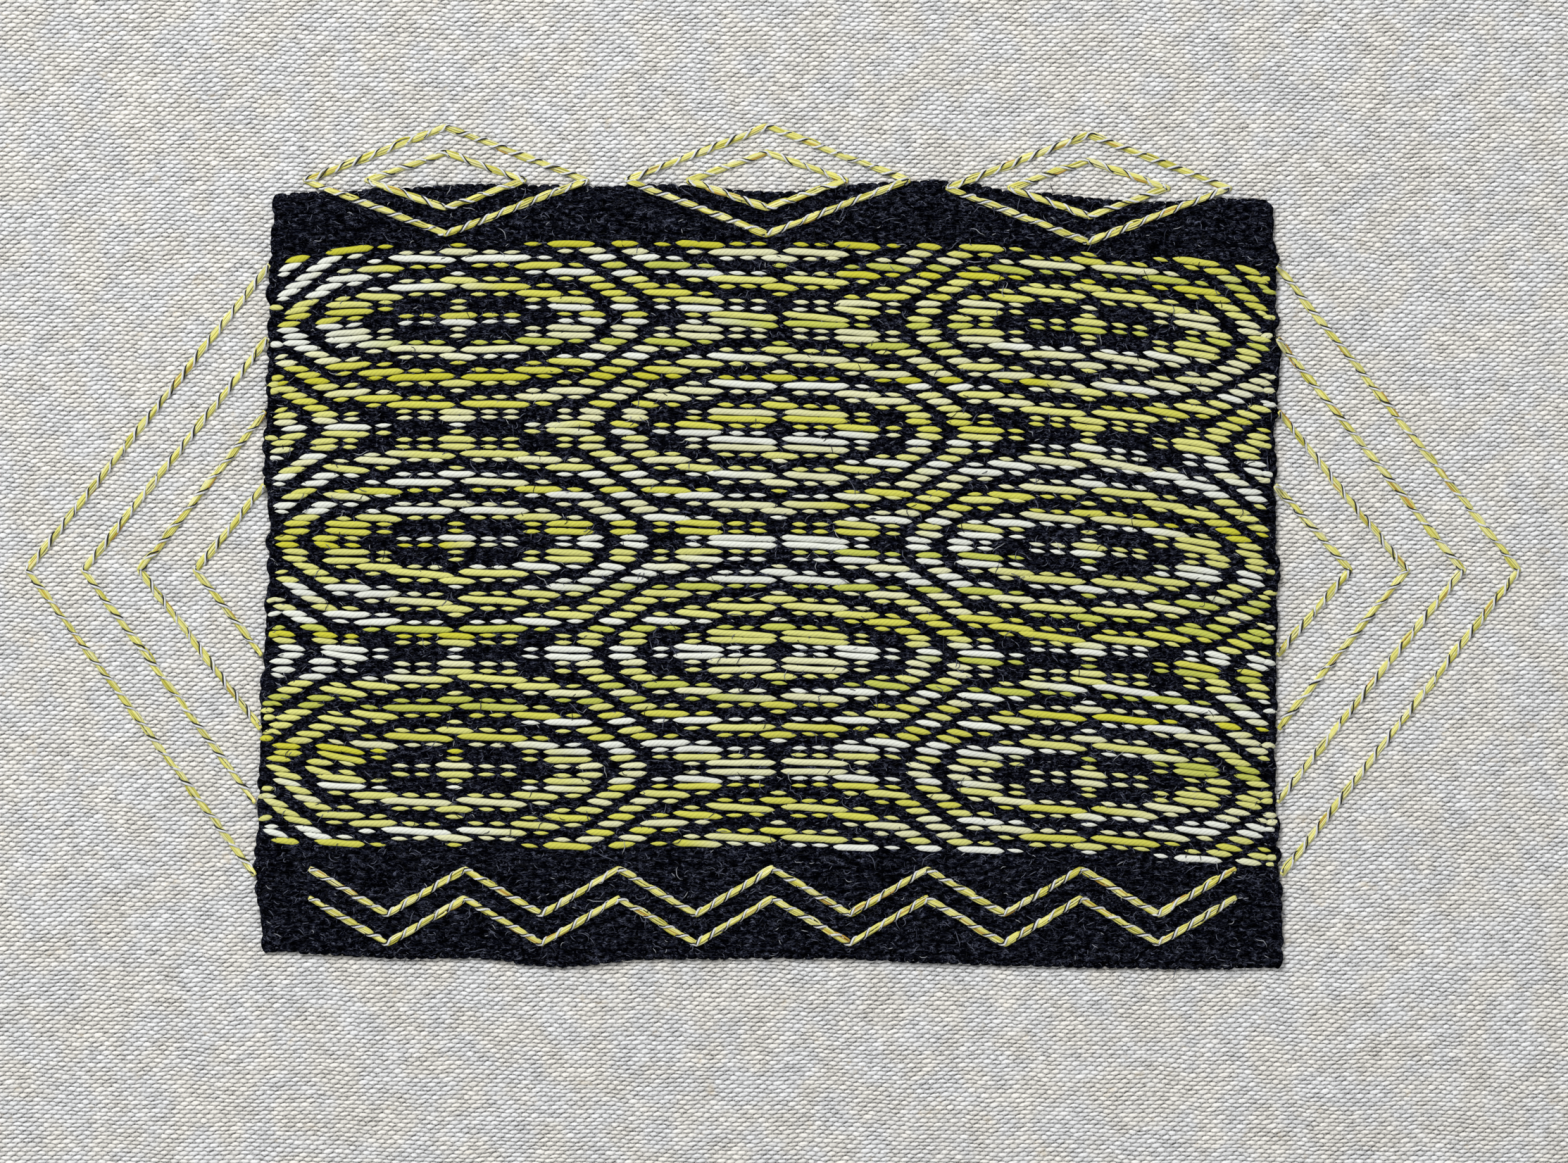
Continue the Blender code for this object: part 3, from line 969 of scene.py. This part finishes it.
# Stitched lines: generic chevrons, lozenges and zigzags, as the solids have them

lines = {
    "chevrons": ((54, 43), (41, 33), (28, 23), (15, 13)),     # half height and reach, mm
    "chevronMiddle": 2 * mm,
    "setback": 0.5 * mm,
    "lozenges": {"outer": (25, 9.6), "inner": (14, 5.0)},     # half width and half height, mm
    "lozengeCentres": {"left": (-60, 71.2), "middle": (-3, 71.2), "right": (54, 69.8)},
    "zigzagX": (-84 * mm, 80 * mm),
    "zigzagLegs": 12,
    "zigzagRise": 8.0 * mm,
    "zigzagMiddles": {"upper": -55.0 * mm, "lower": -60.2 * mm},
}

stitch = {
    "pitch": 3.45 * mm,
    "strands": 6,
    "width": 1.24 * mm,
    "strandRadius": 0.165 * mm,
    "crown": 0.42 * mm,
    "pinch": 0.55,              # width at a joint, against the middle of a stitch
    "wobble": 0.06 * mm,
    "stations": (0.0, 0.08, 0.25, 0.5, 0.75, 0.92, 1.0),
    "overlap": 0.2 * mm,        # of one stitch on the next
    "endSpread": 0.12 * mm,
    "widths": (0.85, 1.12),
    "rolls": (-0.1, 0.5),
    "tones": (0.93, 1.04),
    "strandTones": (0.9, 1.06),
    "strandSizes": (0.8, 1.15),
    "strandSpread": 0.1,
    "strandSag": 0.07 * mm,
    "strandRise": 0.04 * mm,
    "flossLay": 2.4 * mm,
    "flossSides": 4,
    "seed": 7,
    "dyes": (srgb(228, 224, 128), srgb(236, 233, 168), srgb(204, 198, 84), srgb(196, 160, 70)),
    "dyeShares": (0.5, 0.32, 0.14, 0.04),
    "whipReach": 0.53 * mm,
    "whipHigh": 0.72 * mm,
    "whipLow": 0.12 * mm,
    "whipPoints": 10,           # a turn
    "whipOver": 0.66,           # share of a turn that lies over the floss
    "whipBeside": 0.34 * mm,
    "whipWobble": 0.06,
    "whipLay": 0.9 * mm,
    "whipSides": 5,
    "whipDyes": {"black": srgb(22, 23, 28), "silver": srgb(222, 224, 226)},
    "whipSizes": {              # half width and half height
        "black": (0.13 * mm, 0.11 * mm),
        "silver": (0.2 * mm, 0.12 * mm),
    },
}


def stitchedLines():
    # the corners of each line, by the name of the node that it stands for
    found = {}
    half = (panelLow.y + panelHigh.y) / 2
    for side, edge, outward in (("left", leftEdge, -1), ("right", rightEdge, 1)):
        for number, (rise, reach) in enumerate(lines["chevrons"], start=1):
            middle = lines["chevronMiddle"]
            ends = [
                (float(edge(y)) + outward * lines["setback"], y)
                for y in (middle + rise * mm, middle - rise * mm)
            ]
            tip = (float(edge(half)) + outward * reach * mm, middle)
            found[f"chevron_{side}_{number}"] = [ends[0], tip, ends[1]]
    for place, (x, y) in lines["lozengeCentres"].items():
        for name, (wide, high) in lines["lozenges"].items():
            around = [(x, y - high), (x + wide, y), (x, y + high), (x - wide, y), (x, y - high)]
            found[f"lozenge_{place}_{name}"] = [(px * mm, py * mm) for px, py in around]
    low, high = lines["zigzagX"]
    for place, middle in lines["zigzagMiddles"].items():
        corners = []
        for i in range(lines["zigzagLegs"] + 1):
            x = low + (high - low) * i / lines["zigzagLegs"]
            corners.append((x, middle + lines["zigzagRise"] / 2 * (-1) ** i))
        found[f"zigzag_{place}"] = corners
    return found


def legsOf(corners):
    # start, unit way, left-hand side, length and stitch pitch of each straight leg
    for a, b in zip(corners, corners[1:]):
        a, b = np.array(a), np.array(b)
        length = np.linalg.norm(b - a)
        way = (b - a) / length
        side = np.array([-way[1], way[0]])
        yield a, way, side, length, length / max(1, round(length / stitch["pitch"]))


def flossRuns(corners, random):
    # separate strands in each stitch, full in its middle and pinched at both ends
    runs = []
    dyes = np.array(stitch["dyes"])
    share = np.array(stitch["stations"])
    arch = np.sin(math.pi * share) ** 0.5
    last = stitch["strands"] - 1
    for start, way, side, length, pitch in legsOf(corners):
        for i in range(round(length / pitch)):
            jitter = random.normal(0, 1, 2) * stitch["endSpread"]
            s0 = i * pitch - stitch["overlap"] + jitter[0]
            s1 = (i + 1) * pitch + stitch["overlap"] + jitter[1]
            offsets = random.normal(0, 1, 2) * stitch["wobble"]
            s = s0 + (s1 - s0) * share
            middle = offsets[0] + (offsets[1] - offsets[0]) * share
            full = stitch["pinch"] + (1 - stitch["pinch"]) * arch
            wide = stitch["width"] * random.uniform(*stitch["widths"]) / 2 - stitch["strandRadius"]
            roll = random.uniform(*stitch["rolls"])
            tone = random.uniform(*stitch["tones"])
            for strand in range(stitch["strands"]):
                place = strand / last * 2 - 1
                place = place + roll * (share - 0.5) + random.normal(0, stitch["strandSpread"])
                sag = random.normal(0, 1) * stitch["strandSag"] * np.sin(math.pi * share)
                lateral = middle + wide * place * full + sag
                domed = stitch["crown"] * np.sqrt(np.clip(1.1 - place**2, 0.08, 1))
                rise = (domed + random.normal(0, 1) * stitch["strandRise"]) * (0.35 + 0.65 * arch)
                x = start[0] + way[0] * s + side[0] * lateral
                y = start[1] + way[1] * s + side[1] * lateral
                z = clothTop(x, y) + np.maximum(rise, 0.02 * mm)
                size = stitch["strandRadius"] * random.uniform(*stitch["strandSizes"])
                radius = size * np.ones(len(s))
                dye = dyes[random.choice(len(dyes), p=stitch["dyeShares"])] * tone
                dye = dye * random.uniform(*stitch["strandTones"])
                runs.append(yarnRun(x, y, z, radius, radius, s, np.tile(dye, (len(s), 1))))
    return runs


def whipRun(corners, thread, shift, handed, random):
    # one thread that winds round the whole line, and lies over it across each joint
    xs, ys, zs, travelled = [], [], [], []
    gone = 0.0
    over = stitch["whipOver"]
    for start, way, side, length, pitch in legsOf(corners):
        turns = round(length / pitch)
        count = turns * stitch["whipPoints"]
        s = np.arange(count) * length / count
        loose = random.normal(0, stitch["whipWobble"], turns + 1)
        wobble = np.interp(s, np.linspace(0, length, turns + 1), loose)
        turn = np.mod((s + shift) / pitch + over / 2 + wobble, 1.0)
        top = turn < over
        crossing = np.clip(turn / over, 0, 1)
        back = np.clip((turn - over) / (1 - over), 0, 1)
        sway = np.where(top, np.sin(math.pi * (crossing - 0.5)), np.cos(math.pi * back))
        lift = np.where(top, np.sin(math.pi * crossing) ** 0.8, 0.0)
        lateral = handed * stitch["whipReach"] * sway
        x = start[0] + way[0] * s + side[0] * lateral
        y = start[1] + way[1] * s + side[1] * lateral
        rise = stitch["whipLow"] + (stitch["whipHigh"] - stitch["whipLow"]) * lift
        xs.append(x)
        ys.append(y)
        zs.append(clothTop(x, y) + rise)
        travelled.append(gone + s)
        gone += length
    x, y, z = np.concatenate(xs), np.concatenate(ys), np.concatenate(zs)
    wide, high = [np.full(len(x), size) for size in stitch["whipSizes"][thread]]
    colours = np.tile(np.array(stitch["whipDyes"][thread]), (len(x), 1))
    return yarnRun(x, y, z, wide, high, np.concatenate(travelled), colours)


def makeStitching():
    random = np.random.default_rng(stitch["seed"])
    named = stitchedLines()
    flossMaterial = yarnMaterial("flossCotton", stitch["flossLay"], 2, 0.5, 0.92, 0.02 * mm)
    whipMaterial = yarnMaterial("whipThread", stitch["whipLay"], 2, 0.45, 0.8, 0.03 * mm)
    pieces, whips = [], {"black": [], "silver": []}
    for family in ("chevron", "lozenge", "zigzag"):
        floss = []
        nodes = [name for name in named if name.startswith(family)]
        for name in nodes:
            floss += flossRuns(named[name], random)
            handed = -1 if name.endswith("_3") or name.endswith("_inner") else 1
            whips["black"].append(whipRun(named[name], "black", 0.0, handed, random))
            whips["silver"].append(whipRun(named[name], "silver", -stitch["whipBeside"], handed, random))
        data = yarnMesh(family + "Floss", floss, stitch["flossSides"])
        pieces.append(addPiece(family + "Floss", data, flossMaterial, nodes))
        print(family, "stitches:", len(floss) // stitch["strands"])
    for thread, runs in whips.items():
        data = yarnMesh(thread + "Whip", runs, stitch["whipSides"])
        pieces.append(addPiece(thread + "Whip", data, whipMaterial))
    return pieces


# Loose wool fibres that stand out of the panel's face

fuzz = {
    "number": 10600,
    "edgeNumber": 900,
    "length": (0.6 * mm, 1.6 * mm),
    "longLength": (1.8 * mm, 3.4 * mm),
    "longShare": 0.06,
    "radius": 0.078 * mm,
    "edgeRadius": 0.05 * mm,
    "edgeLength": (0.4 * mm, 1.1 * mm),
    "edgeBack": (0.2 * mm, 0.7 * mm),       # how far inside the edge such a fibre starts
    "edgeSpread": (0.3, 1.5),
    "edgeLift": 0.1 * mm,
    "lift": (0.05 * mm, 0.3 * mm),
    "longLift": (0.3 * mm, 0.6 * mm),
    "clear": 0.04 * mm,
    "slant": -0.08,
    "spread": 0.4,
    "longSpread": 1.2,
    "kink": 0.35,
    "rings": 5,
    "longRings": 7,
    "edgeRings": 6,
    "sides": 3,
    "keepIn": (0.2 * mm, 0.1 * mm),         # least distance inside the edge, for both kinds of fibre
    "seed": 19,
    "dyes": (srgb(42, 45, 60), srgb(92, 96, 112), srgb(150, 153, 160), srgb(3, 4, 11)),
    "dyeShares": (0.36, 0.27, 0.05, 0.32),
}


def fuzzRun(x0, y0, heading, bend, length, count, lift, radius, random):
    # a curly fibre that arches over the wool, or over the canvas outside it
    share = np.linspace(0, 1, count)
    kink = np.cumsum(random.normal(0, fuzz["kink"], count))
    angle = heading + bend * (share - 0.5) + kink
    step = length / (count - 1)
    x = x0 + np.cumsum(np.cos(angle)) * step
    y = y0 + np.cumsum(np.sin(angle)) * step
    inside = smooth(edgeDistance(x, y) / (0.5 * mm) + 1)
    ground = canvasTop(x, y) + (groundTop(x, y) - canvasTop(x, y)) * inside
    z = ground + fuzz["clear"] + lift * np.sin(math.pi * share)
    radius = radius * (1 - 0.6 * np.abs(2 * share - 1) ** 2)
    dye = np.array(fuzz["dyes"])[random.choice(len(fuzz["dyes"]), p=fuzz["dyeShares"])]
    return yarnRun(x, y, z, radius, radius, share * length, np.tile(dye, (count, 1)))


def faceFuzz(random):
    runs = []
    for _ in range(fuzz["number"]):
        x0 = random.uniform(panelLow.x, panelHigh.x)
        y0 = random.uniform(panelLow.y, panelHigh.y)
        if edgeDistance(x0, y0) < fuzz["keepIn"][0]:
            continue
        isLong = random.random() < fuzz["longShare"]
        length = random.uniform(*fuzz["longLength" if isLong else "length"])
        spread = fuzz["longSpread" if isLong else "spread"]
        heading = random.normal(fuzz["slant"], spread) + math.pi * random.integers(0, 2)
        lift = random.uniform(*fuzz["longLift" if isLong else "lift"])
        count = fuzz["longRings" if isLong else "rings"]
        bend = random.normal(0, 0.9)
        runs.append(fuzzRun(x0, y0, heading, bend, length, count, lift, fuzz["radius"], random))
    return runs


def edgeFuzz(random):
    runs = []
    middle = Vector(((panelLow.x + panelHigh.x) / 2, (panelLow.y + panelHigh.y) / 2))
    for _ in range(fuzz["edgeNumber"]):
        side = random.choice(4, p=(0.3, 0.3, 0.2, 0.2))
        along = random.uniform(-0.98, 0.98)
        if side < 2:
            x0 = middle.x + along * (panelHigh.x - panelLow.x) / 2
            y0 = float((topEdge if side == 0 else bottomEdge)(x0))
        else:
            y0 = middle.y + along * (panelHigh.y - panelLow.y) / 2
            x0 = float((rightEdge if side == 2 else leftEdge)(y0))
        outward = (math.pi / 2, -math.pi / 2, 0.0, math.pi)[side]
        back = random.uniform(*fuzz["edgeBack"])
        x0, y0 = x0 - back * math.cos(outward), y0 - back * math.sin(outward)
        if edgeDistance(x0, y0) < fuzz["keepIn"][1]:
            continue
        heading = outward + random.choice((-1, 1)) * random.uniform(*fuzz["edgeSpread"])
        length = random.uniform(*fuzz["edgeLength"])
        bend = random.normal(0, 2.0)
        count, lift, radius = fuzz["edgeRings"], fuzz["edgeLift"], fuzz["edgeRadius"]
        runs.append(fuzzRun(x0, y0, heading, bend, length, count, lift, radius, random))
    return runs


def makeFuzz():
    random = np.random.default_rng(fuzz["seed"])
    runs = faceFuzz(random) + edgeFuzz(random)
    material = yarnMaterial("woolFuzz", 2.0 * mm, 1, 0.8, 1.0, 0.01 * mm)
    half = len(runs) // 2
    pieces = []
    for name, part in (("woolFuzz_a", runs[:half]), ("woolFuzz_b", runs[half:])):
        data = yarnMesh(name, part, fuzz["sides"])
        pieces.append(addPiece(name, data, material))
    print("Fuzz fibres:", len(runs))
    return pieces


# Edges: wool turns and pattern yarn at both selvedges, and wool ends at the other two edges

edging = {
    "woolPitch": 2.2 * mm,
    "woolRadius": 0.68 * mm,
    "woolReach": 0.24 * mm,
    "pitches": (0.6, 1.4),      # what the pitch, reach and radius of a turn are multiplied by
    "reaches": (-1.2, 2.2),
    "radii": (0.8, 1.2),
    "turnClear": 0.1 * mm,
    "turnDip": 0.35 * mm,
    "turnSpread": (0.08 * mm, 0.05 * mm),   # sideways and in height
    "corner": 1.6 * mm,         # no turns nearer to a corner
    "endRadius": 1.2 * mm,
    "endHigh": 0.42 * mm,
    "endLength": 1.4 * mm,
    "endClear": 0.5 * mm,
    "endReach": (0.05 * mm, 0.07 * mm),
    "yarnLength": 2.7 * mm,
    "yarnWide": 0.5 * mm,       # half width and half height
    "yarnHigh": 0.31 * mm,
    "yarnDrop": 0.8 * mm,
    "yarnReach": (-0.1 * mm, 0.3 * mm),
    "yarnShare": 0.32,          # of the picks show their yarn at an edge
    "readAt": (88 * mm, 60 * mm),           # where rows and ends are read: across and up
    "rings": 9,
    "sides": 8,
    "seed": 23,
}


def turnRun(x, outward, y, span, reach, radius, rise, dye, random):
    # a yarn that comes out of the edge, goes round and dives back in lower down
    sideways, upright = edging["turnSpread"]
    share = np.linspace(0, 1, edging["rings"])
    out = np.sin(math.pi * share) ** 0.7
    px = x + outward * (reach * out - radius * (1.3 - 0.5 * out))
    py = y + span * (0.5 - share) + random.normal(0, 1) * sideways
    z = canvasTop(px, py) + rise + random.normal(0, 1) * upright - edging["turnDip"] * (1 - out)
    thick = radius * (0.7 + 0.3 * out)
    return yarnRun(px, py, z, thick, thick, share * span * 2, np.tile(dye, (len(share), 1)))


def overEdgeRun(x, outward, y, reach, dye, random):
    # pattern yarn that lies over the last ends and dips over the selvedge
    share = np.linspace(0, 1, edging["rings"])
    px = x + outward * (edging["yarnLength"] * (share - 1) + reach)
    py = y + random.normal(0, 0.25) * mm * (share - 0.5) - 0.3 * mm * share**3
    top = panelTop(px, py) - edging["yarnHigh"]
    z = top - edging["yarnDrop"] * share**4 - 0.3 * mm * (1 - share) ** 4
    body = np.maximum(lens(np.minimum(share * 1.3, (1 - share) * 2.2), 0.6), 0.12)
    wide = edging["yarnWide"] * random.uniform(0.85, 1.2) * body
    high = edging["yarnHigh"] * body**0.7
    return yarnRun(px, py, z, wide, high, px, np.tile(dye, (len(share), 1)))


def endRun(x, y, outward, reach, radius, dye, random):
    # a wool end that comes over the top or bottom edge and turns under
    share = np.linspace(0, 1, edging["rings"] - 1)
    bow, clear = edging["turnDip"], edging["endClear"]
    along = bow * np.sin(share * math.pi / 2) - bow - edging["endLength"] * (1 - share)
    py = y + outward * (reach + along)
    px = x + random.normal(0, 0.12) * mm + 0 * share
    high = groundTop(px, y - outward * 1.2 * mm + 0 * px) - clear
    low = canvasTop(px, py) + clear
    z = high + (low - high) * share**4
    thick = radius * (1 - 0.2 * share)
    flat = np.full(len(share), edging["endHigh"])
    return yarnRun(px, py, z, thick, flat, share * 2 * mm, np.tile(dye, (len(share), 1)))


def makeEdges(dyeAt, material):
    random = np.random.default_rng(edging["seed"])
    woolRuns, yarnRuns = [], []
    dark = np.array(wool["mid"])
    across, upward = edging["readAt"]
    for edge, outward in ((leftEdge, -1), (rightEdge, 1)):
        x = float(edge(0.0))
        y = float(bottomEdge(x)) + edging["corner"]
        while y < float(topEdge(x)) - edging["corner"]:
            pitch = edging["woolPitch"] * random.uniform(*edging["pitches"])
            reach = edging["woolReach"] * random.uniform(*edging["reaches"])
            radius = edging["woolRadius"] * random.uniform(*edging["radii"])
            rise = radius + edging["turnClear"]
            start = float(edge(y))
            run = turnRun(start, outward, y, pitch * 1.3, reach, radius, rise, dark, random)
            woolRuns.append(run)
            y += pitch
        for pick in range(len(picks)):
            if random.random() > edging["yarnShare"]:
                continue
            x = float(edge(pickY(pick, outward * across)))
            y = float(pickY(pick, x))
            dye = dyeAt(np.array((pick + (pick % 2 == (outward < 0))) * pickLength))
            reach = random.uniform(*edging["yarnReach"])
            yarnRuns.append(overEdgeRun(x, outward, y, reach, dye, random))
    for edge, outward in ((bottomEdge, -1), (topEdge, 1)):
        for end in range(draft["firstEnd"], draft["lastEnd"] + 1):
            x = float(endX(end, outward * upward))
            reach = random.normal(*edging["endReach"])
            radius = edging["endRadius"] * random.uniform(0.9, 1.1)
            woolRuns.append(endRun(x, float(edge(x)), outward, reach, radius, dark, random))
    woolData = yarnMesh("edgeWool", woolRuns, edging["sides"])
    yarnData = yarnMesh("selvedgeYarn", yarnRuns, edging["sides"])
    return [
        addPiece("edgeWool", woolData, material),
        addPiece("selvedgeYarn", yarnData, cottonMaterial("selvedgeYarn", 0.84)),
    ]


canvasPiece = makeCanvas()
print("Canvas made")
navyWool = woolMaterial()
woolPiece = makeWoolGround(navyWool)
print("Wool ground made")
floatPieces = makeFloats()
stitchPieces = makeStitching()
fuzzPieces = makeFuzz()
edgePieces = makeEdges(dyeAlong(), navyWool)
print("Fuzz and edges made")


# Floor, light and camera

view = {
    "fieldWidth": 278.4 * mm,
    "distance": 1.3,
    "sensor": 36.0,
    "background": 0.5,
    "keyPlace": (-0.85, 1.3, 1.6),
    "keySize": 0.7,
    "keyPower": 39.0,
    "floorHalf": 3.0,
    "floorDrop": 0.1 * mm,
    "floorTone": srgb(232, 231, 229),
}


def makeFloor():
    bm = bmesh.new()
    bmesh.ops.create_grid(bm, x_segments=1, y_segments=1, size=view["floorHalf"])
    bmesh.ops.translate(bm, verts=bm.verts[:], vec=(0.0, 0.0, -view["floorDrop"]))
    data = meshOf(bm, "floor")
    material, _, shader = startMaterial("floorPaper", 0.9)
    shader.inputs["Base Color"].default_value = (*view["floorTone"], 1.0)
    data.materials.append(material)
    floor = bpy.data.objects.new("floor", data)
    bpy.context.collection.objects.link(floor)


def makeLight():
    world = bpy.data.worlds.new("studio")
    world.use_nodes = True
    background = world.node_tree.nodes["Background"]
    background.inputs["Color"].default_value = (1.0, 1.0, 1.0, 1.0)
    background.inputs["Strength"].default_value = view["background"]
    bpy.context.scene.world = world
    lamp = bpy.data.lights.new("key", "AREA")
    lamp.size = view["keySize"]
    lamp.energy = view["keyPower"]
    light = bpy.data.objects.new("key", lamp)
    light.location = view["keyPlace"]
    light.rotation_euler = (-Vector(view["keyPlace"])).to_track_quat("-Z", "Y").to_euler()
    bpy.context.collection.objects.link(light)


def makeCamera():
    data = bpy.data.cameras.new("camera")
    data.sensor_width = view["sensor"]
    data.lens = view["sensor"] * view["distance"] / view["fieldWidth"]
    data.clip_end = 10.0
    camera = bpy.data.objects.new("camera", data)
    camera.location = (0.0, 0.0, view["distance"] + canvasHigh.z)
    bpy.context.collection.objects.link(camera)
    bpy.context.scene.camera = camera


makeFloor()
makeLight()
makeCamera()
bpy.context.scene.view_settings.view_transform = "Standard"
print("Stage set")
